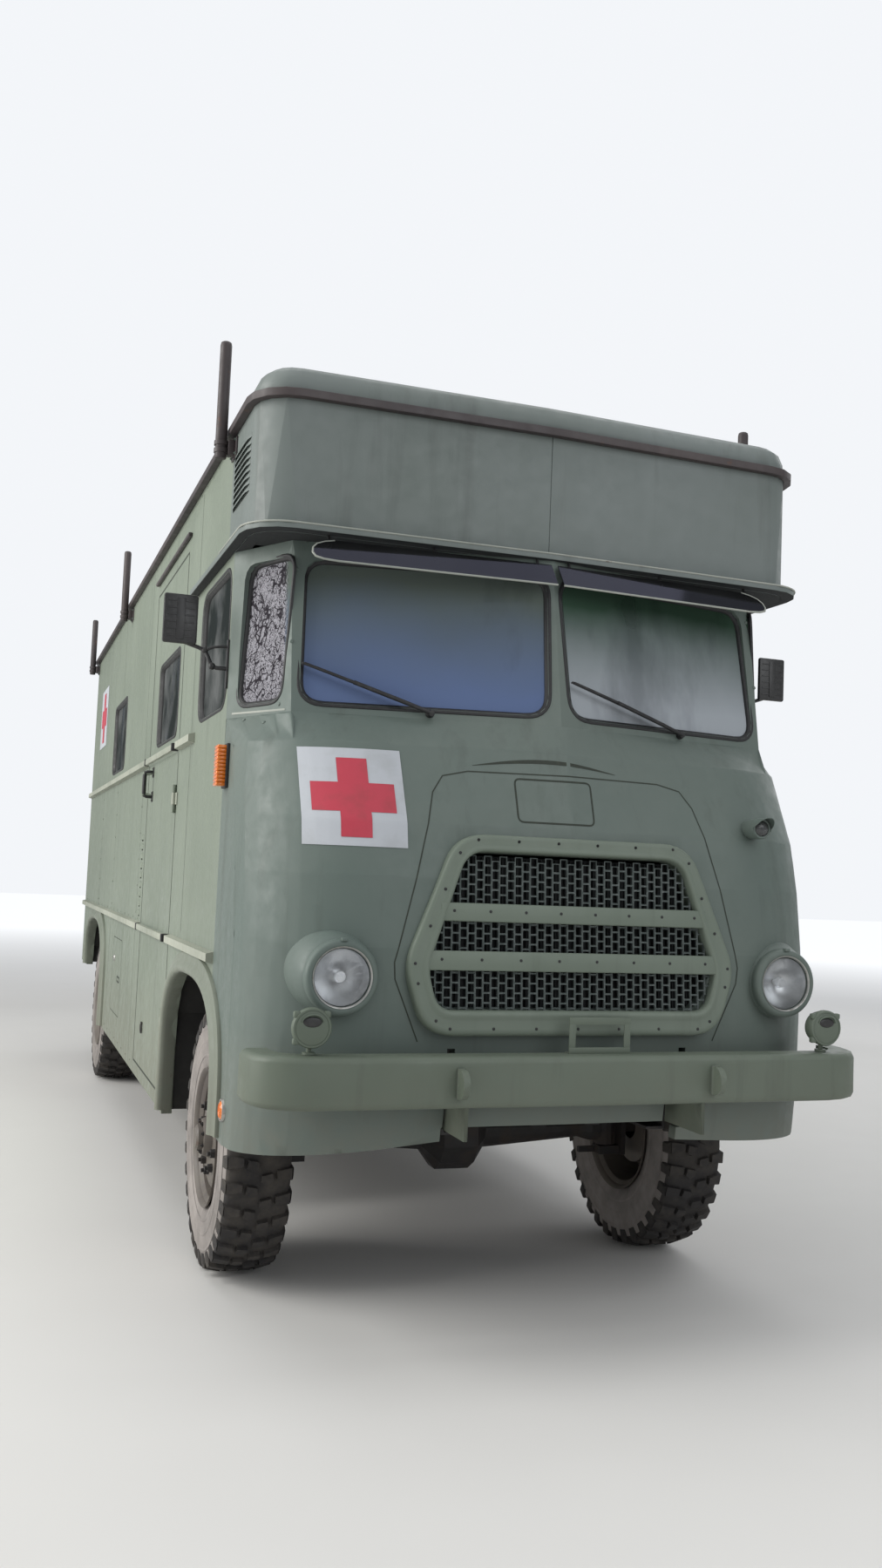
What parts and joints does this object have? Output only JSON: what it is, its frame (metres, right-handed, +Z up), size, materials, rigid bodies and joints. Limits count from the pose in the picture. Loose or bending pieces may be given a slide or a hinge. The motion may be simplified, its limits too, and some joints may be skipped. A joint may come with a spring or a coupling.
{
  "type": "military ambulance truck",
  "caption": "Panel-bodied military ambulance truck with forward cab, overhanging roof box, side and rear doors, twin rear tyres.",
  "frame": {"origin": "on the ground below the middle of the overall box, in the truck's centre plane", "axes": "-Y towards the front, +Y towards the rear, +X towards the truck's own left, +Z up"},
  "size_m": [2.94, 8.237, 3.925],
  "materials": {
    "body_paint": "matt grey-green",
    "gutter_paint": "matt, rusty",
    "dark_paint": "matt",
    "rim_paint": "matt",
    "dark_iron": "oily",
    "black_metal": "matt",
    "black_plastic": "matt",
    "visor_tint": "clear tint",
    "seat_cover": "woven",
    "amber": "clear amber",
    "lens": "fluted",
    "window": "clear",
    "tyre": "dusty"
  },
  "bodies": {
    "truck": {"amber_lamps": "amber", "axles": "dark_iron", "bumper": "body_paint", "cab_front": "body_paint", "chassis_frame": "dark_paint", "dashboard": "dark_paint", "engine": "dark_iron", "floor": "dark_paint", "grille_frame": "body_paint", "grille_mesh": "black_metal", "gutter": "gutter_paint", "lamp_housings": "dark_paint", "lamp_lenses": "lens", "leaf_springs": "dark_iron", "mirrors": "dark_paint", "posts": "body_paint", "rear_wall": "body_paint", "roof": "body_paint", "roof_box": "body_paint", "screen_frame": "body_paint", "seats": "seat_cover", "side_rails": "body_paint", "side_wall_left": "body_paint", "side_wall_right": "body_paint", "visors": "visor_tint", "wheel_houses": "dark_paint", "window_glass": "window", "wipers": "black_metal"},
    "entry_door_right": {"entry_door_right": "body_paint", "entry_glass_right": "window"},
    "entry_door_left": {"entry_door_left": "body_paint", "entry_glass_left": "window"},
    "rear_door_right": {"rear_door_right": "body_paint"},
    "rear_door_left": {"rear_door_left": "body_paint"},
    "knuckle_right": {"knuckle_right": "dark_iron"},
    "knuckle_left": {"knuckle_left": "dark_iron"},
    "wheel_front_right": {"tyre_front_right": "tyre", "rim_front_right": "rim_paint"},
    "wheel_front_left": {"tyre_front_left": "tyre", "rim_front_left": "rim_paint"},
    "wheel_rear_right": {"tyre_rear_right": "tyre", "rim_rear_right": "rim_paint"},
    "wheel_rear_left": {"tyre_rear_left": "tyre", "rim_rear_left": "rim_paint"},
    "steering_wheel": {"steering_wheel": "black_plastic"}
  },
  "joints": [
    {"name": "entry_door_right_hinge", "type": "hinge", "parent": "truck", "child": "entry_door_right", "pos_m": [-1.212, -1.694, 1.9], "axis": [0, 0, 1], "range_deg": [0, 90]},
    {"name": "entry_door_left_hinge", "type": "hinge", "parent": "truck", "child": "entry_door_left", "pos_m": [1.212, -1.694, 1.9], "axis": [0, 0, -1], "range_deg": [0, 90]},
    {"name": "rear_door_right_hinge", "type": "hinge", "parent": "truck", "child": "rear_door_right", "pos_m": [-0.743, 4.061, 2.2], "axis": [0, 0, 1], "range_deg": [0, 100]},
    {"name": "rear_door_left_hinge", "type": "hinge", "parent": "truck", "child": "rear_door_left", "pos_m": [0.743, 4.061, 2.2], "axis": [0, 0, -1], "range_deg": [0, 100]},
    {"name": "steer_right", "type": "hinge", "parent": "truck", "child": "knuckle_right", "pos_m": [-0.79, -2.601, 0.55], "axis": [0, 0, 1], "range_deg": [-28, 28]},
    {"name": "steer_left", "type": "hinge", "parent": "truck", "child": "knuckle_left", "pos_m": [0.79, -2.601, 0.55], "axis": [0, 0, 1], "range_deg": [-28, 28]},
    {"name": "spin_front_right", "type": "hinge", "parent": "knuckle_right", "child": "wheel_front_right", "pos_m": [-0.985, -2.601, 0.55], "axis": [1, 0, 0], "continuous": true},
    {"name": "spin_front_left", "type": "hinge", "parent": "knuckle_left", "child": "wheel_front_left", "pos_m": [0.985, -2.601, 0.55], "axis": [1, 0, 0], "continuous": true},
    {"name": "spin_rear_right", "type": "hinge", "parent": "truck", "child": "wheel_rear_right", "pos_m": [-0.85, 2.519, 0.55], "axis": [1, 0, 0], "continuous": true},
    {"name": "spin_rear_left", "type": "hinge", "parent": "truck", "child": "wheel_rear_left", "pos_m": [0.85, 2.519, 0.55], "axis": [1, 0, 0], "continuous": true},
    {"name": "steering_wheel_turn", "type": "hinge", "parent": "truck", "child": "steering_wheel", "pos_m": [0.62, -2.881, 2.06], "axis": [0, 0.4226, 0.9063], "continuous": true}
  ],
  "couplings": [
    {"joint": "steer_left", "follows": "steer_right", "ratio": 1}
  ]
}
